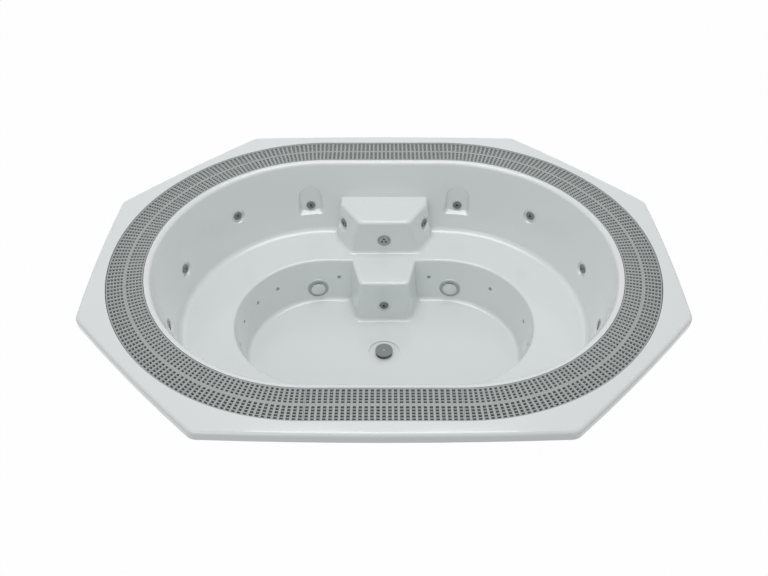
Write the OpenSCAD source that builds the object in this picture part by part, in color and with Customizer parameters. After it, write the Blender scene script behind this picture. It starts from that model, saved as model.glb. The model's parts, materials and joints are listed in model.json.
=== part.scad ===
// Built-in commercial hot tub with an overflow grating.
// Origin: on the ground, below the middle of the tub. X runs along the long axis, +Y towards the steps,
// +Z up. Depths are measured down from the deck, which is the flat top of the rim.

/* [Deck and rim] */
// Height of the deck above the ground
deck_h = 900; // [880:5:1000]
// Thickness of the moulded shell
shell_t = 8; // [6:0.5:10]
// Half the overall length, at the crown of the end sides
half_l = 1500; // [1490:5:1540]
// Half the overall width, at the crown of the long sides
half_w = 1160; // [1150:5:1200]
// Crown of a corner side, measured along X
diag_x = 1153; // [1145:1:1180]
// Crown of a corner side, measured along Y
diag_y = 820; // [812:1:845]
// Radius of the bow of the long sides
bow_long_r = 20000; // [15000:500:30000]
// Radius of the bow of the end sides
bow_end_r = 8200; // [6500:100:12000]
// Radius of the bow of the corner sides
bow_diag_r = 9400; // [7500:100:14000]
// Radius where two sides of the rim meet, seen from above
corner_r = 70; // [65:5:90]
// Radius of the rolled edge
roll_r = 20; // [12:1:28]
// Height of the rolled edge
roll_h = 48; // [40:1:70]

/* [Overflow channel and grating] */
// Length of the straight middle of the oval
straight_l = 686; // [600:2:720]
// Outer radius of the grating at the ends
grate_r = 1080; // [1070:1:1085]
// Width of the grating
grate_w = 180; // [170:1:185]
// Thickness of the grating
grate_t = 22; // [18:1:26]
// Depth of the grating's top below the deck
grate_recess = 6; // [3:1:10]
// Gap round the grating
grate_gap = 3; // [2:0.5:5]
// Pitch of the grating's cross bars, along its middle
bar_pitch = 25; // [22:0.5:30]
// Width of a cross bar
bar_w = 12; // [10:0.5:14]
// Open cells on each side of the grating's spine
side_cells = 3; // [2:1:4]
// Width of the solid spine down the grating's middle
spine_w = 16; // [12:1:24]
// Width of the divider between two cells
divider_w = 4; // [3:0.5:6]
// Width of the grating's edge strips
edge_w = 7; // [5:0.5:9]
// Sections of grating round each end
end_sections = 6; // [5:1:8]
// Width of the ledge that carries the grating
ledge_w = 16; // [12:1:22]
// Depth of the channel's floor
channel_d = 150; // [120:5:155]

/* [Basin] */
// Radius of the basin's wall where it leaves the lip
wall_top_r = 870; // [866:1:876]
// Radius at the back of the seat
seat_back_r = 792; // [780:1:800]
// Depth of the seat
seat_d = 470; // [455:5:485]
// Radius of the seat's front edge
seat_front_r = 500; // [495:1:510]
// Radius of the footwell at its floor
floor_r = 455; // [450:1:465]
// Depth of the floor
floor_d = 757; // [750:1:770]
// Rounding of the lip
lip_round = 25; // [16:1:30]
// Rounding between the wall and the seat
seat_round = 40; // [20:1:50]
// Rounding of the seat's front edge
nose_round = 15; // [12:1:20]
// Rounding between the footwell's wall and its floor
floor_round = 30; // [20:1:36]

/* [Step column] */
// Depth of the upper step
step_d = 235; // [225:1:245]
// Distance of the upper step's front from the middle of the tub
step_front_y = 572; // [560:1:585]
// Half width of the upper step's front edge
step_front_w = 146; // [135:1:155]
// Half width of the upper step at the wall
step_back_w = 268; // [255:1:275]
// Distance along Y where the step's slanted sides begin
step_shoulder_y = 770; // [755:1:775]
// Radius of the upright corners of the steps
step_corner_r = 34; // [30:1:40]
// Radius of the upper step's top edge
step_edge_r = 20; // [14:1:24]
// Radius of the fillet at the foot of the steps
step_foot_r = 24; // [16:1:28]
// How far the upper block spreads at the seat, on each slanted side
step_spread = 56; // [40:1:62]
// Distance of the lower step's front from the middle of the tub
tread_front_y = 286; // [275:1:300]
// Half width of the lower step's front edge
tread_front_w = 147; // [135:1:155]
// Draft of the lower block's front and corners at the floor
tread_spread = 18; // [10:1:24]

/* [Massage jets] */
// Depth of the jets
jet_d = 300; // [295:1:305]
// Depth of the jets that sit higher, at the corners of the oval
high_jet_d = 235; // [232:1:240]
// Angle of the end jets from the long axis
jet_a1 = 16; // [12:1:20]
// Angle of the high jets from the long axis
jet_a2 = 49.6; // [44:0.2:54]
// Angle of the niche jets from the long axis
jet_a3 = 82; // [80:0.5:84]
// Radius of a jet's trim ring
jet_r = 28.5; // [27:0.5:31]
// Bore of a jet's front fitting
jet_bore_r = 19; // [17:0.5:20]
// Radius of the jet's nozzle hole
nozzle_r = 7; // [5:0.5:9]
// Radius of the flat seat round a jet
spot_r = 40; // [38:1:44]
// Half width of the arched niches beside the steps
niche_r = 65; // [60:1:70]
// Depth of the top of an arched niche
niche_top_d = 165; // [160:1:170]

/* [Small fittings] */
// Depth of the air jets in the footwell
air_d = 592; // [585:1:600]
// Radius of an air jet's head
air_r = 10.5; // [9:0.5:12]
// Radius of a suction fitting
suction_r = 62; // [58:1:64]
// Depth of the suction fittings
suction_d = 668; // [664:1:670]
// Radius of the return inlet
inlet_r = 40; // [36:1:44]
// Depth of the return inlet
inlet_d = 373; // [365:1:378]
// Radius of the dish round the floor drain
dish_r = 93; // [88:1:98]
// Radius of the drain's cover
drain_r = 51; // [48:1:56]
// Height of the drain's cover above the floor
drain_h = 20; // [16:1:26]

/* [Pipework] */
// Radius of the oval that the massage air ring follows, at the ends
air_ring_r = 878; // [876:1:879]
// Radius of the oval that the water ring follows, at the ends
water_ring_r = 925; // [924:1:926]
// Outer radius of the water ring pipe
water_r = 25; // [22:0.5:25]
// Depth of the water ring pipe
water_d = 185; // [184:1:185]
// Outer radius of the massage air ring pipe
airpipe_r = 16; // [14:0.5:16]
// Depth of the massage air ring pipe
airpipe_d = 178; // [177:1:180]
// Outer radius of the pipes that carry water to the jets
drop_r = 16; // [14:0.5:17]
// Outer radius of the pipes that carry air to the jets
air_drop_r = 10; // [8:0.5:12]
// Radius of the oval of the footwell's air ring, at the ends
foot_ring_r = 540; // [536:1:546]
// Depth of a pipe socket
socket_l = 40; // [30:1:44]
// Wall of a pipe socket
socket_wall = 5; // [4:0.5:6]
// Bore radius of the overflow and suction sockets
big_socket_r = 31.5; // [28:0.5:33]
// Bore radius of the water ring's, return inlet's and drain's sockets
inlet_pipe_r = 25; // [22:0.5:25]

/* [Support frame] */
// Size of the square tubes of the base
tube = 60; // [50:2:60]
// Wall of the square tubes
tube_wall = 3; // [2:0.5:5]
// Size of the square posts below the seat
post = 36; // [30:2:38]
// Distance of the two long rails from the middle
rail_y = 300; // [280:5:310]
// Distance of the outer cross members from the middle
cross_x2 = 980; // [960:5:985]
// Distance of the inner cross members from the middle
cross_x1 = 300; // [296:1:304]
// Distance of the outer posts from the long axis
post_y2 = 340; // [335:1:345]
// Distance of the inner posts from the long axis
post_y1 = 580; // [577:1:584]
// Distance of the inner feet from the long axis
foot_y1 = 480; // [440:5:490]
// Radius of a foot's pad
pad_r = 45; // [35:1:55]
// Height of a foot's pad
pad_h = 15; // [12:1:20]
// Radius of a foot's stud
stud_r = 8; // [6:0.5:10]
// Radius of a foot's lock nut
foot_nut_r = 14; // [12:1:20]

/* [Hidden] */
$fn = 72;
// Fineness of the oval's ends
sweep_fn = 240;

// Clearances
lift_gap = 0.3;
run_gap = 0.06;
slip_gap = 0.3;
hole_gap = 0.5;

// Derived levels and radii of the shell
end_c = straight_l / 2;
lip_d = grate_recess;
ledge_d = grate_recess + grate_t + lift_gap;
grate_in_r = grate_r - grate_w;
chan_out_r = grate_r + grate_gap;
chan_in_r = grate_in_r - grate_gap;
chan_mid_r = grate_r - grate_w / 2;
wall_slope = (wall_top_r - seat_back_r) / (seat_d - lip_d);
foot_slope = (seat_front_r - floor_r) / (floor_d - seat_d);
dish_d = floor_d + shell_t;
base_top = deck_h - floor_d - shell_t;

// Height of a point that lies d below the deck
function z_at(d) = deck_h - d;
// Radius of the basin's wall and of the footwell's wall at depth d
function wall_r(d) = wall_top_r - (d - lip_d) * wall_slope;
function foot_r(d) = seat_front_r - (d - seat_d) * foot_slope;

// Plane geometry
function unit(v) = v / norm(v);
function left_of(v) = [-v[1], v[0]];
function heading(a) = [cos(a), sin(a)];
function bearing(v) = atan2(v[1], v[0]);
function turned(v, a) = [v[0] * cos(a) - v[1] * sin(a), v[0] * sin(a) + v[1] * cos(a)];
function reversed(p) = [for (i = [len(p) - 1 : -1 : 0]) p[i]];
function flipped_x(p) = [for (q = p) [-q[0], q[1]]];
function flipped_y(p) = [for (q = p) [q[0], -q[1]]];

// Points of an arc of radius r that rounds the corner p between a and b
function rounded(a, p, b, r, n) =
    let (u = unit(a - p), v = unit(b - p), half = acos(u * v) / 2)
    let (c = p + unit(u + v) * r / sin(half), s = p + u * r / tan(half) - c, e = p + v * r / tan(half) - c)
    [for (i = [0 : n]) c + turned(s, sign(cross(s, e)) * i / n * (180 - 2 * half))];

// A path through corners [x, y, radius], with each corner rounded by its radius
function xy(c) = [c[0], c[1]];
function path(c, n = 8) = [
    for (i = [0 : len(c) - 1])
        each (len(c[i]) == 2) ? [c[i]] : rounded(xy(c[i - 1]), xy(c[i]), xy(c[i + 1]), c[i][2], n)
];

// The path moved sideways by t, to its left
function moved(p, t) = [
    for (i = [0 : len(p) - 1])
        let (before = unit(p[max(i, 1)] - p[max(i, 1) - 1]))
        let (after = unit(p[min(i, len(p) - 2) + 1] - p[min(i, len(p) - 2)]))
        let (m = left_of(before), n = left_of(after))
        p[i] + (m + n) * t / (1 + m * n)
];

// Point where two circles meet, on the side away from the middle of the tub
function meeting(c1, r1, c2, r2) =
    let (d = norm(c2 - c1), u = (c2 - c1) / d, a = (r1 * r1 - r2 * r2 + d * d) / (2 * d))
    let (h = sqrt(r1 * r1 - a * a), p = c1 + a * u + h * left_of(u), q = c1 + a * u - h * left_of(u))
    (p[0] + p[1] > q[0] + q[1]) ? p : q;

// Wet face of the shell, from the deck through the channel and over the lip to the floor's middle
deck_band = 12;
deck_hole_r = chan_out_r + 5;
channel_path = [
    [chan_out_r + deck_band, 0], [chan_out_r, 0], [chan_out_r, -ledge_d], [chan_out_r - ledge_w, -ledge_d],
    [chan_out_r - ledge_w, -channel_d], [chan_in_r + ledge_w, -channel_d], [chan_in_r + ledge_w, -ledge_d]
];
foot_corners = [
    [seat_back_r, -seat_d, seat_round], [seat_front_r, -seat_d, nose_round],
    [floor_r, -floor_d, floor_round], [0, -floor_d]
];
basin_path = path(concat(
    [[chan_in_r, -ledge_d], [chan_in_r, -lip_d], [wall_top_r, -lip_d, lip_round]], foot_corners
));

// Dry face of the shell: under the channel, then from under the solid lip down the wall to the floor
lip_base_d = ledge_d + shell_t;
dry_outside = moved(channel_path, shell_t);
dry_channel = concat(
    [for (i = [0 : len(channel_path) - 2]) dry_outside[i]],
    [[chan_in_r + ledge_w - shell_t, -lip_base_d]]
);
dry_basin = moved(path(concat([[wall_r(lip_base_d), -lip_base_d]], foot_corners)), shell_t);
shell_profile = concat(channel_path, basin_path, reversed(dry_basin), reversed(dry_channel));
basin_fill = concat([[0, -lip_base_d]], dry_basin);

// Sides of the rim: bowed arcs, joined by corner arcs that they run into smoothly
long_c = [0, half_w - bow_long_r];
diag_c = [diag_x, diag_y] - bow_diag_r * heading(45);
end_side_c = [half_l - bow_end_r, 0];
corner_a = meeting(long_c, bow_long_r - corner_r, diag_c, bow_diag_r - corner_r);
corner_b = meeting(diag_c, bow_diag_r - corner_r, end_side_c, bow_end_r - corner_r);
rim_a1 = bearing(corner_a - long_c);
rim_a2 = bearing(corner_a - diag_c);
rim_a3 = bearing(corner_b - diag_c);
rim_a4 = bearing(corner_b - end_side_c);

// Points of an arc about c from bearing a towards b, without its end
function arc(c, r, a, b, n) = [for (i = [0 : n - 1]) c + r * heading(a + (b - a) * i / n)];

// Outline of the rim, drawn in by inset: a quarter of it, and all of it
function quarter_rim(inset) = concat(
    arc(long_c, bow_long_r - inset, 90, rim_a1, 4),
    arc(corner_a, corner_r - inset, rim_a1, rim_a2, 4),
    arc(diag_c, bow_diag_r - inset, rim_a2, rim_a3, 5),
    arc(corner_b, corner_r - inset, rim_a3, rim_a4, 4),
    arc(end_side_c, bow_end_r - inset, rim_a4, 0, 3),
    [[half_l - inset, 0]]
);
function inner_points(p) = [for (i = [1 : len(p) - 2]) p[i]];
function half_rim(inset) =
    let (q = quarter_rim(inset))
    concat(q, reversed(flipped_y([for (i = [0 : len(q) - 2]) q[i]])));
function rim_outline(inset) =
    let (h = half_rim(inset))
    concat(h, reversed(flipped_x(inner_points(h))));

// Section of the rolled edge: [inset, height from the deck], up its outside and back down its inside
roll_steps = 6;
function roll_arc(r) = [
    for (i = [0 : roll_steps]) [roll_r - r * cos(90 * i / roll_steps), r * sin(90 * i / roll_steps) - roll_r]
];
roll_section = concat(
    [[0, -roll_h]], roll_arc(roll_r), reversed(roll_arc(roll_r - shell_t)), [[shell_t, -roll_h]]
);

// Steps: the outline of each block at depth d, drawn in by inset
side_spread = 27;
shoulder = [step_back_w, step_shoulder_y] - [step_front_w, step_front_y];
slant = unit(shoulder);
slant_out = [slant[1], -slant[0]];
step_far_y = 900;
tread_back_w = 215;
tread_side_spread = 34;
tread_far_y = 600;
hollow_far_y = step_far_y + 20;
tread_hollow_far_y = 720;
corner_steps = 4;
function half_outline(p) = concat(p, reversed(flipped_x(p)));
function step_share(d) = (d - step_d) / (seat_d - step_d);
function tread_share(d) = (d - seat_d) / (floor_d - seat_d);
function step_outline(d, inset, far_y) =
    let (side = step_back_w + side_spread * step_share(d) - inset)
    let (s = [step_front_w, step_front_y] + slant_out * (step_spread * step_share(d) - inset))
    let (front = s + slant * (step_front_y + inset - s[1]) / slant[1])
    let (back = s + slant * (side - s[0]) / slant[0])
    half_outline(concat(
        rounded([0, front[1]], front, back, step_corner_r - inset, corner_steps),
        rounded(front, back, [side, far_y], step_corner_r - inset, corner_steps),
        [[side, far_y]]
    ));
function tread_outline(d, inset, far_y) =
    let (f = tread_share(d), y = tread_front_y - f * tread_spread + inset)
    let (front = [tread_front_w + f * tread_spread - inset, y])
    let (back = [tread_back_w + f * tread_side_spread - inset, tread_far_y])
    half_outline(concat(
        rounded([0, y], front, back, step_corner_r - inset, corner_steps),
        [back + (back - front) * (far_y - tread_far_y) / (back[1] - front[1])]
    ));

// Levels of a block from its rounded top edge to the fillet at its foot. Each is [inset, depth], and
// skin is the distance below the wet face
function block_levels(top_d, edge_r, foot_d, fillet_r, skin) = concat(
    [for (k = [0 : corner_steps])
        let (t = 90 * k / corner_steps, r = edge_r - skin)
        [skin + r * (1 - sin(t)), top_d + skin + r * (1 - cos(t))]],
    [for (k = [0 : corner_steps])
        let (t = 90 * k / corner_steps, r = fillet_r + skin)
        [skin - r * (1 - cos(t)), foot_d + skin - r * (1 - sin(t))]]
);
function with_base(levels, below) = concat(levels, [levels[len(levels) - 1] + [0, below]]);
function upper_levels(skin) = block_levels(step_d, step_edge_r, seat_d, step_foot_r, skin);
function lower_levels(skin) = block_levels(seat_d, nose_round, floor_d, step_foot_r, skin);

// Fittings sit on flat seats. Each place is [x, y, depth, bearing into the basin, reach back to the air pipe]
spot_cut = 60;
spot_draft = 0.5;
wall_cover = 2;
plug_reach = 300;
niche_corner_r = 20;
low_seat_r = wall_r(jet_d - spot_r) + 0.5;
high_seat_r = wall_r(high_jet_d - spot_r) + 0.5;
niche_seat_r = wall_r(niche_top_d) + 0.5;
niche_floor = 35;
niche_arch = jet_d - niche_top_d - niche_r + 5;
jet_recess = 2 * spot_r * wall_slope;
niche_recess = (jet_d + niche_floor - niche_top_d) * wall_slope;
function on_end(s, a, r, d, reach) =
    [s * (end_c + r * cos(a)), r * sin(a), d, atan2(-sin(a), -s * cos(a)), reach];
function end_jets(s, m) = [
    on_end(s, m * jet_a1, low_seat_r, jet_d, air_ring_r - low_seat_r),
    on_end(s, m * jet_a2, high_seat_r, high_jet_d, air_ring_r - high_seat_r),
    on_end(s, m * jet_a3, niche_seat_r, jet_d, air_ring_r - niche_seat_r)
];
wall_jets = [for (s = [-1, 1], m = [-1, 1]) each end_jets(s, m)];
step_jet_d = 340;
step_jet_along = 165;
step_reach = 40;
step_jet_out = step_spread * step_share(step_jet_d - spot_r) - 0.5;
step_jet_at = [step_front_w, step_front_y] + slant * step_jet_along + slant_out * step_jet_out;
step_jets = [
    for (s = [-1, 1])
        [s * step_jet_at[0], step_jet_at[1], step_jet_d, atan2(slant_out[1], s * slant_out[0]), step_reach]
];
foot_jet_d = 640;
foot_jet_y = tread_front_y - tread_spread * tread_share(foot_jet_d - spot_r) + 0.5;
foot_jet = [0, foot_jet_y, foot_jet_d, -90, step_reach];
ported_jets = concat(wall_jets, step_jets);
jets = concat(ported_jets, [foot_jet]);
inlet = [0, step_front_y, inlet_d, -90, 0];

suction_a = 81.5;
suction_pad = 20;
seat_margin = 2;
boss_wall = 10;
boss_reach = 30;
suction_band = 18;
skin_overlap = 1;
suction_seat_r = foot_r(suction_d) + skin_overlap;
suctions = [for (s = [-1, 1]) on_end(s, suction_a, suction_seat_r, suction_d, 0)];

// Air jets of the footwell: by angle round each end, and beside the steps
air_spot_r = air_r + 1;
air_tube_r = 6;
air_hole_r = 2.5;
air_head_t = 3;
air_nut_t = 8;
air_port_r = 9;
air_port_l = 25;
air_seat_r = foot_r(air_d - air_spot_r) + 0.3;
air_reach = foot_ring_r - air_port_l - air_seat_r;
air_straight_x = 279;
air_angles_left = [-50.5, -11, 11, 31, 50.5];
air_angles_right = [-50.5, -11, 11, 50.5];
air_places = concat(
    [for (a = air_angles_left) on_end(-1, a, air_seat_r, air_d, air_reach)],
    [for (a = air_angles_right) on_end(1, a, air_seat_r, air_d, air_reach)],
    [for (s = [-1, 1], m = [-1, 1]) [s * air_straight_x, m * air_seat_r, air_d, -90 * m, air_reach]]
);

// Jet parts, along the jet's own axis, with 0 at its seat and + into the basin
gasket_t = 1.2;
trim_t = 3.5;
jet_tube_r = jet_bore_r + 4;
jet_hole_r = jet_tube_r + hole_gap;
face_t = 4;
nozzle_wall = 5;
tee_flange_t = 5;
tee_end = 25;
tee_wall = 8;
tube_back = 26;
spigot_back = 22;
tee_r = jet_tube_r + 4;
tee_flange_r = 31;
tee_rear_r = 22;
port_gap = water_ring_r - air_ring_r;
port_air = 35;
port_air_r = 14;
port_water = 24;
collar_r = 18;
water_collar_d = high_jet_d - port_water;
air_collar_d = high_jet_d - port_air;
pipe_level = step_d + shell_t + drop_r + 3;
foot_pipe_x = 90;
ring_inlet_l = 120;
foot_inlet_l = 90;
socket_floor = 5;

// Branches that feed the rings from below: [place, depth of the ring, radius of the pipe, length]
water_branch = [[-end_c - water_ring_r, 0], water_d, inlet_pipe_r, ring_inlet_l];
air_branch = [[end_c + air_ring_r, 0], airpipe_d, airpipe_r, ring_inlet_l];
foot_branch = [[end_c + foot_ring_r, 0], air_d, airpipe_r, foot_inlet_l];
function socket_top_d(b) = b[1] + b[3] - socket_l - socket_floor;

// Drain, outlets and suction
nut_t = 14;
drain_tube_r = inlet_pipe_r + socket_wall;
drain_bore_r = inlet_pipe_r - 3;
outlet_tube_r = big_socket_r + 8;
outlet_flange_r = outlet_tube_r + 12;
outlet_end_d = 200;
outlet_at_r = chan_out_r - ledge_w - outlet_flange_r - 6;
outlets = [
    [0, outlet_at_r], [0, -outlet_at_r], [end_c + outlet_at_r, 0], [-end_c - outlet_at_r, 0]
];
suction_tube_r = 45;
suction_bore_r = 36;
cap_r = 44;
leg_r = 4;
screw_r = 2;

// Feet and posts
feet = [for (s = [-1, 1], m = [-1, 1]) each [[s * cross_x2, m * rail_y], [s * cross_x1, m * foot_y1]]];
post_places = [
    for (s = [-1, 1], m = [-1, 1]) each [[s * cross_x2, m * post_y2], [s * cross_x1, m * post_y1]]
];
base_bottom = base_top - tube;
foot_nut_t = 13;
stud_up = 30;

// Grating sections
function section_bars(len) = round(len / bar_pitch);
end_span = 180 / end_sections;
section_gap = 0.5;

// Nodes
function two_digits(i) = str(i < 10 ? "0" : "", i);
function face_name(i) = str("jet_face_", two_digits(i + 1));
function section_name(side, i) = str("grating_", side, "_", i + 1);

// Puts a profile, drawn as [radius, height from the deck], all the way round the oval
module oval_sweep() {
    for (s = [-1, 1])
        translate([s * end_c, 0, deck_h])
            rotate(-90 * s)
                rotate_extrude(angle = 180, $fn = sweep_fn)
                    children();
    translate([-end_c, 0, deck_h])
        rotate([90, 0, 90])
            linear_extrude(straight_l) {
                children();
                mirror([1, 0]) children();
            }
}

// Oval area whose ends have radius r
module oval_area(r) {
    for (s = [-1, 1]) translate([s * end_c, 0]) circle(r, $fn = 180);
    square([straight_l, 2 * r], center = true);
}

// Solid through a stack of outlines, each [outline, height], from the highest down. The outlines run
// anticlockwise and have the same number of points
module loft(levels) {
    n = len(levels[0][0]);
    m = len(levels);
    polyhedron(
        points = [for (l = levels, v = l[0]) [v[0], v[1], l[1]]],
        faces = concat(
            [[for (i = [n - 1 : -1 : 0]) i], [for (i = [0 : n - 1]) n * (m - 1) + i]],
            [for (j = [0 : m - 2], i = [0 : n - 1])
                let (a = j * n + i, b = j * n + (i + 1) % n)
                each [[a, b, a + n], [b, b + n, a + n]]]
        )
    );
}

// Puts a fitting at its place: its own +Z points into the basin and its own +X points down
module at_place(p) {
    translate([p[0], p[1], z_at(p[2])]) rotate(p[3]) rotate([0, 90, 0]) children();
}

// Cylinder between two heights of its own axis
module rod(r, a, b) {
    translate([0, 0, a]) cylinder(r = r, h = b - a);
}

// Tube between two heights of its own axis
module pipe(r_out, r_in, a, b) {
    translate([0, 0, a])
        linear_extrude(b - a)
            difference() {
                circle(r_out);
                circle(r_in);
            }
}

// Upright rod between two depths, at a point of the plan
module upright(p, r, d_top, d_low) {
    translate([p[0], p[1], z_at(d_low)]) cylinder(r = r, h = d_low - d_top);
}

// Level rod along +Y, from y1 to y2
module along_y(x, d, r, y1, y2) {
    translate([x, y1, z_at(d)]) rotate([-90, 0, 0]) cylinder(r = r, h = y2 - y1);
}

// Rolled edge: its section carried round the rim's outline
module rolled_edge() {
    n = len(rim_outline(0));
    m = len(roll_section);
    polyhedron(
        points = [for (q = roll_section, v = rim_outline(q[0])) [v[0], v[1], deck_h + q[1]]],
        faces = [
            for (j = [0 : m - 1], i = [0 : n - 1])
                let (k = (j + 1) % m, l = (i + 1) % n)
                each [[j * n + i, j * n + l, k * n + i], [j * n + l, k * n + l, k * n + i]]
        ]
    );
}

// Flat deck inside the rolled edge, and the edge
module rim() {
    translate([0, 0, z_at(shell_t)])
        linear_extrude(shell_t)
            difference() {
                polygon(rim_outline(roll_r));
                oval_area(deck_hole_r);
            }
    rolled_edge();
}

// Outside of the two step blocks, kept within the basin's own skin
module steps_solid() {
    intersection() {
        union() {
            loft([for (l = with_base(upper_levels(0), 1))
                [step_outline(l[1], l[0], step_far_y), z_at(l[1])]]);
            loft([for (l = with_base(lower_levels(0), 1))
                [tread_outline(l[1], l[0], tread_far_y), z_at(l[1])]]);
        }
        translate([-end_c, 0, deck_h])
            rotate([90, 0, 90])
                linear_extrude(straight_l)
                    polygon(basin_fill);
    }
}

// Hollow behind and below the steps, open to the back and to the ground
module steps_hollow() {
    loft([for (l = with_base(upper_levels(shell_t), 20))
        [step_outline(l[1], l[0], hollow_far_y), z_at(l[1])]]);
    loft([for (l = with_base(lower_levels(shell_t), 20))
        [tread_outline(l[1], l[0], tread_hollow_far_y), z_at(l[1])]]);
}

// Flat-backed recess of a jet. It widens towards the basin, as a moulding does
module jet_spot() {
    cylinder(r1 = spot_r, r2 = spot_r + spot_cut * spot_draft, h = spot_cut);
}

// Backing of a jet's recess, wide enough for the recess where it meets the wall
module jet_plug() {
    rod(spot_r + shell_t + spot_draft * jet_recess, -shell_t, spot_cut);
}

// Arched recess beside the steps, and its backing
function niche_outline(grow) =
    let (r = niche_r + grow, low = niche_floor + grow)
    concat(
        rounded([-niche_arch, -r], [low, -r], [low, r], niche_corner_r, corner_steps),
        rounded([low, -r], [low, r], [-niche_arch, r], niche_corner_r, corner_steps),
        [for (a = [90 : 15 : 270]) [-niche_arch, 0] + r * heading(a)]
    );

module niche_spot() {
    loft([[niche_outline(spot_cut * spot_draft), spot_cut], [niche_outline(0), 0]]);
}

module niche_plug() {
    translate([0, 0, -shell_t])
        linear_extrude(shell_t + spot_cut)
            polygon(niche_outline(shell_t + spot_draft * niche_recess));
}

// Backing of the wall's recesses, cut off inside the leaning wall
module wall_backing() {
    for (i = [0 : len(wall_jets) - 1]) {
        p = wall_jets[i];
        rise = air_ring_r - p[4] - wall_r(p[2]);
        at_place(p)
            difference() {
                if (i % 3 == 2) niche_plug();
                else jet_plug();
                translate([0, 0, rise - wall_cover])
                    rotate([0, -atan(wall_slope), 0])
                        translate([-plug_reach, -plug_reach, 0])
                            cube([2 * plug_reach, 2 * plug_reach, spot_cut * 2]);
            }
    }
}

// Bosses of the suction fittings: flat towards the basin, and as thick as their seat needs
module suction_bosses() {
    top = suction_d - suction_r - suction_band;
    low = suction_d + suction_r + seat_margin + boss_wall;
    for (p = suctions) at_place(p) rod(suction_r + seat_margin, -suction_pad, 0);
    intersection() {
        for (p = suctions) at_place(p) rod(suction_r + seat_margin + boss_wall, -suction_pad, boss_reach);
        oval_sweep()
            polygon([
                [foot_r(top) + skin_overlap, -top], [foot_r(top) + spot_cut, -top],
                [foot_r(low) + spot_cut, -low], [foot_r(low) + skin_overlap, -low]
            ]);
    }
}

module step_backing() {
    intersection() {
        for (p = concat(step_jets, [foot_jet])) at_place(p) jet_plug();
        steps_solid();
    }
}

// Recesses and holes for every fitting
module shell_cuts() {
    for (i = [0 : len(jets) - 1])
        at_place(jets[i])
            if (i < len(wall_jets) && i % 3 == 2) niche_spot();
            else jet_spot();
    for (p = jets) at_place(p) rod(jet_hole_r, -2 * shell_t, spot_cut);
    for (p = suctions)
        at_place(p) {
            rod(suction_r + seat_margin, 0, boss_reach);
            rod(suction_tube_r + hole_gap, -2 * suction_pad, boss_reach);
        }
    for (p = air_places)
        at_place(p) {
            rod(air_spot_r, 0, air_r);
            rod(air_tube_r + slip_gap, -2 * shell_t, air_r);
        }
    at_place(inlet) rod(inlet_tube_r + hole_gap, -2 * shell_t, 1);
    upright([0, 0], dish_r, floor_d - 1, dish_d);
    upright([0, 0], drain_tube_r + slip_gap, floor_d, dish_d + 2 * shell_t);
    for (p = outlets) upright(p, outlet_tube_r + hole_gap, channel_d - 1, channel_d + 2 * shell_t);
}

// One-piece moulding: rim, channel, lip, basin, seat, footwell and the hollow steps
module shell() {
    color("whitesmoke")
        difference() {
            union() {
                difference() {
                    union() {
                        oval_sweep() polygon(shell_profile);
                        rim();
                        steps_solid();
                    }
                    steps_hollow();
                }
                wall_backing();
                step_backing();
                suction_bosses();
                upright([0, 0], dish_r + shell_t, floor_d + 1, dish_d + shell_t);
            }
            shell_cuts();
        }
}

// Radius of the inner edge of cell j, counted from the basin side
function cell_pitch() = (grate_w - 2 * edge_w - spine_w + 2 * divider_w) / (2 * side_cells);
function cell_start(j) =
    grate_in_r + edge_w + j * cell_pitch() + (j < side_cells ? 0 : spine_w - 2 * divider_w);

// Section of the grating round an end: bars like spokes, with the cells between them left open
module curved_section(side, i) {
    bars = section_bars(chan_mid_r * end_span * PI / 180);
    step_a = end_span / bars;
    a0 = -90 + i * end_span;
    gap_a = section_gap / 2 / chan_mid_r * 180 / PI;
    cell_l = cell_pitch() - divider_w;
    color("darkgray")
        mirror([side == "left" ? 1 : 0, 0, 0])
            translate([end_c, 0, z_at(grate_recess + grate_t)])
                rotate(a0)
                    linear_extrude(grate_t)
                        difference() {
                            intersection() {
                                difference() {
                                    circle(grate_r, $fn = 360);
                                    circle(grate_in_r, $fn = 360);
                                }
                                polygon(concat(
                                    [[0, 0]],
                                    [for (k = [0 : 4])
                                        2 * grate_r * heading(gap_a + k / 4 * (end_span - 2 * gap_a))]
                                ));
                            }
                            for (b = [0 : bars - 1], j = [0 : 2 * side_cells - 1]) {
                                r = cell_start(j);
                                w = bar_w / 2 / r * 180 / PI;
                                lo = heading(b * step_a + w);
                                hi = heading((b + 1) * step_a - w);
                                polygon([r * lo, (r + cell_l) * lo, (r + cell_l) * hi, r * hi]);
                            }
                        }
}

// Section of the grating along a straight side, front (m = -1) or back (m = 1)
module straight_section(m) {
    bars = section_bars(straight_l);
    pitch = straight_l / bars;
    cell_l = cell_pitch() - divider_w;
    color("darkgray")
        mirror([0, m < 0 ? 1 : 0, 0])
            translate([0, 0, z_at(grate_recess + grate_t)])
                linear_extrude(grate_t)
                    difference() {
                        translate([-end_c + section_gap / 2, grate_in_r])
                            square([straight_l - section_gap, grate_w]);
                        for (b = [0 : bars - 1], j = [0 : 2 * side_cells - 1])
                            translate([-end_c + b * pitch + bar_w / 2, cell_start(j)])
                                square([pitch - bar_w, cell_l]);
                    }
}

// Turning face of a jet: a disc with a nozzle hole and grip notches, on a spigot in the fitting's bore
module jet_face(p) {
    front = gasket_t + trim_t + lift_gap;
    disc_r = jet_r - 4;
    color("dimgray")
        at_place(p)
            difference() {
                union() {
                    rod(disc_r, front, front + face_t);
                    rod(jet_bore_r - run_gap, -spigot_back, front);
                }
                rod(nozzle_r, -spigot_back - 1, front + face_t + 1);
                rod(jet_bore_r - nozzle_wall, front + face_t - 2, front + face_t + 1);
                for (a = [0 : 60 : 300])
                    rotate(a) translate([disc_r + 1.5, 0, 0]) rod(4, front + 1, front + face_t + 1);
            }
}

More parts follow.
